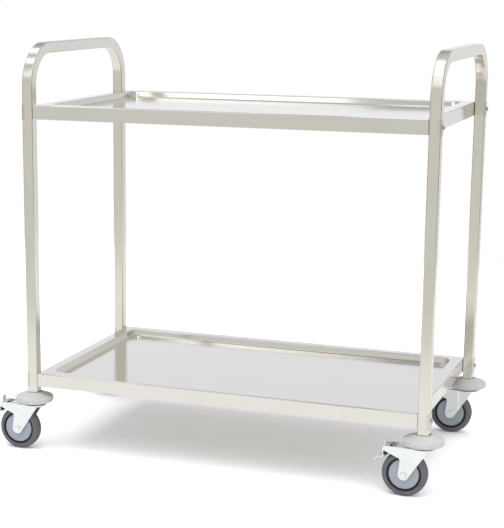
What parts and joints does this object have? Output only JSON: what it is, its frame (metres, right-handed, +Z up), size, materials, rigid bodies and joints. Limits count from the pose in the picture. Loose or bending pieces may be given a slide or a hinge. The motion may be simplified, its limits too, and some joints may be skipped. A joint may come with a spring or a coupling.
{
  "type": "serving trolley",
  "caption": "Serving trolley with bent square-tube end frames that form push handles, pressed stainless shelves with sunk floors, round corner bumpers and braked swivel casters.",
  "frame": {"origin": "on the floor under the middle of the four legs", "axes": "+X along the shelves to the right-hand frame, +Y to the back, +Z up"},
  "size_m": [1.0743, 0.593, 0.946],
  "materials": {
    "stainless_tube": "polished square tube",
    "stainless_sheet": "polished pressed sheet",
    "clip_steel": "satin pressed clip",
    "bright_fastener": "bright nickel-plated fastener",
    "zinc_plate": "bright zinc-plated pressing",
    "bearing_steel": "hardened and polished",
    "bumper_plastic": "moulded pale grey",
    "plug_plastic": "moulded black",
    "tyre_rubber": "moulded grey rubber",
    "core_plastic": "moulded black",
    "cap_plastic": "moulded blue grey",
    "shoe_rubber": "moulded black"
  },
  "bodies": {
    "frame": {"left_frame": "stainless_tube", "right_frame": "stainless_tube", "upper_shelf": "stainless_sheet", "lower_shelf": "stainless_sheet", "leg_clips": "clip_steel", "shelf_bolts": "bright_fastener", "shelf_washers": "bright_fastener", "shelf_nuts": "bright_fastener", "leg_plugs": "plug_plastic", "front_left_bumper": "bumper_plastic", "front_left_stem": "bearing_steel", "front_left_race": "zinc_plate", "front_right_bumper": "bumper_plastic", "front_right_stem": "bearing_steel", "front_right_race": "zinc_plate", "rear_left_bumper": "bumper_plastic", "rear_left_stem": "bearing_steel", "rear_left_race": "zinc_plate", "rear_right_bumper": "bumper_plastic", "rear_right_stem": "bearing_steel", "rear_right_race": "zinc_plate"},
    "front_left_caster": {"front_left_fork": "zinc_plate", "front_left_balls": "bearing_steel", "front_left_bush": "bearing_steel", "front_left_axle": "zinc_plate", "front_left_axle_nut": "zinc_plate", "front_left_pedal_pin": "zinc_plate"},
    "front_left_wheel": {"front_left_tyre": "tyre_rubber", "front_left_core": "core_plastic", "front_left_caps": "cap_plastic"},
    "front_left_brake": {"front_left_pedal": "zinc_plate", "front_left_brake_shoe": "shoe_rubber"},
    "front_right_caster": {"front_right_fork": "zinc_plate", "front_right_balls": "bearing_steel", "front_right_bush": "bearing_steel", "front_right_axle": "zinc_plate", "front_right_axle_nut": "zinc_plate", "front_right_pedal_pin": "zinc_plate"},
    "front_right_wheel": {"front_right_tyre": "tyre_rubber", "front_right_core": "core_plastic", "front_right_caps": "cap_plastic"},
    "front_right_brake": {"front_right_pedal": "zinc_plate", "front_right_brake_shoe": "shoe_rubber"},
    "rear_left_caster": {"rear_left_fork": "zinc_plate", "rear_left_balls": "bearing_steel", "rear_left_bush": "bearing_steel", "rear_left_axle": "zinc_plate", "rear_left_axle_nut": "zinc_plate"},
    "rear_left_wheel": {"rear_left_tyre": "tyre_rubber", "rear_left_core": "core_plastic", "rear_left_caps": "cap_plastic"},
    "rear_right_caster": {"rear_right_fork": "zinc_plate", "rear_right_balls": "bearing_steel", "rear_right_bush": "bearing_steel", "rear_right_axle": "zinc_plate", "rear_right_axle_nut": "zinc_plate"},
    "rear_right_wheel": {"rear_right_tyre": "tyre_rubber", "rear_right_core": "core_plastic", "rear_right_caps": "cap_plastic"}
  },
  "joints": [
    {"name": "front_left_swivel", "type": "hinge", "parent": "frame", "child": "front_left_caster", "pos_m": [-0.4625, -0.2525, 0.1], "axis": [0, 0, 1], "continuous": true},
    {"name": "front_left_roll", "type": "hinge", "parent": "front_left_caster", "child": "front_left_wheel", "pos_m": [-0.5005, -0.2525, 0.05], "axis": [0, 1, 0], "continuous": true},
    {"name": "front_left_brake_tilt", "type": "hinge", "parent": "front_left_caster", "child": "front_left_brake", "pos_m": [-0.5265, -0.2525, 0.103], "axis": [0, -1, 0], "range_deg": [0, 12]},
    {"name": "front_right_swivel", "type": "hinge", "parent": "frame", "child": "front_right_caster", "pos_m": [0.4625, -0.2525, 0.1], "axis": [0, 0, 1], "continuous": true},
    {"name": "front_right_roll", "type": "hinge", "parent": "front_right_caster", "child": "front_right_wheel", "pos_m": [0.4245, -0.2525, 0.05], "axis": [0, 1, 0], "continuous": true},
    {"name": "front_right_brake_tilt", "type": "hinge", "parent": "front_right_caster", "child": "front_right_brake", "pos_m": [0.3985, -0.2525, 0.103], "axis": [0, -1, 0], "range_deg": [0, 12]},
    {"name": "rear_left_swivel", "type": "hinge", "parent": "frame", "child": "rear_left_caster", "pos_m": [-0.4625, 0.2525, 0.1], "axis": [0, 0, 1], "continuous": true},
    {"name": "rear_left_roll", "type": "hinge", "parent": "rear_left_caster", "child": "rear_left_wheel", "pos_m": [-0.5005, 0.2525, 0.05], "axis": [0, 1, 0], "continuous": true},
    {"name": "rear_right_swivel", "type": "hinge", "parent": "frame", "child": "rear_right_caster", "pos_m": [0.4625, 0.2525, 0.1], "axis": [0, 0, 1], "continuous": true},
    {"name": "rear_right_roll", "type": "hinge", "parent": "rear_right_caster", "child": "rear_right_wheel", "pos_m": [0.4245, 0.2525, 0.05], "axis": [0, 1, 0], "continuous": true}
  ]
}
